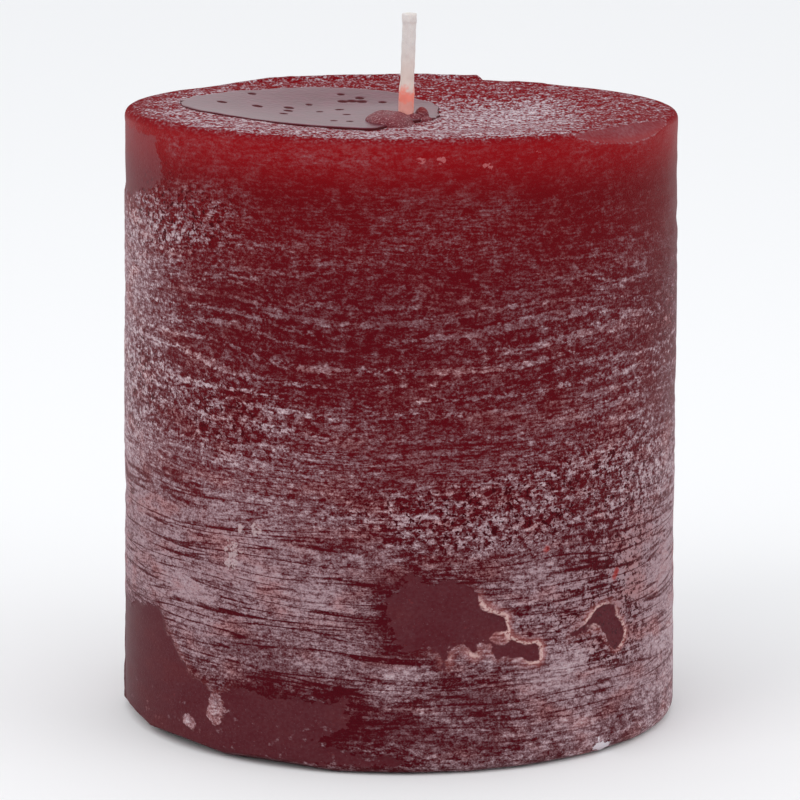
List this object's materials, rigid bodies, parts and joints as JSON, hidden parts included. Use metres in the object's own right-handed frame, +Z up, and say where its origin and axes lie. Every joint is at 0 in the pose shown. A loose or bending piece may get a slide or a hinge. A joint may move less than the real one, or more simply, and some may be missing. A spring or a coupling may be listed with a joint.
{
  "type": "pillar candle",
  "caption": "Short rustic pillar candle of dark red wax with a frosted, ridged skin, a shallow dished top and a short upright wick.",
  "frame": {"origin": "centre of the flat base, on the surface the candle stands on", "axes": "+Z up along the candle's axis, -Y towards the front of the candle, +X to the right as seen from the front"},
  "size_m": [0.0712, 0.0712, 0.0895],
  "materials": {
    "coat_wax": "dark red wax under a patchy grey-pink frost, with bare glossy places",
    "column_wax": "plain dark red wax, satin",
    "smooth_wax": "smooth glossy dark red wax",
    "wick_cotton": "off-white waxed cotton braid, stained red at the foot",
    "thread_cotton": "plain white thread",
    "foot_metal": "tin-plated sheet steel"
  },
  "bodies": {
    "root": {"wax_coat": "coat_wax", "wax_column": "column_wax", "top_pool": "smooth_wax", "wick_seal": "smooth_wax", "base_seal": "smooth_wax", "wick_braid": "wick_cotton", "wick_core_thread": "thread_cotton", "wick_foot": "foot_metal"}
  },
  "joints": []
}
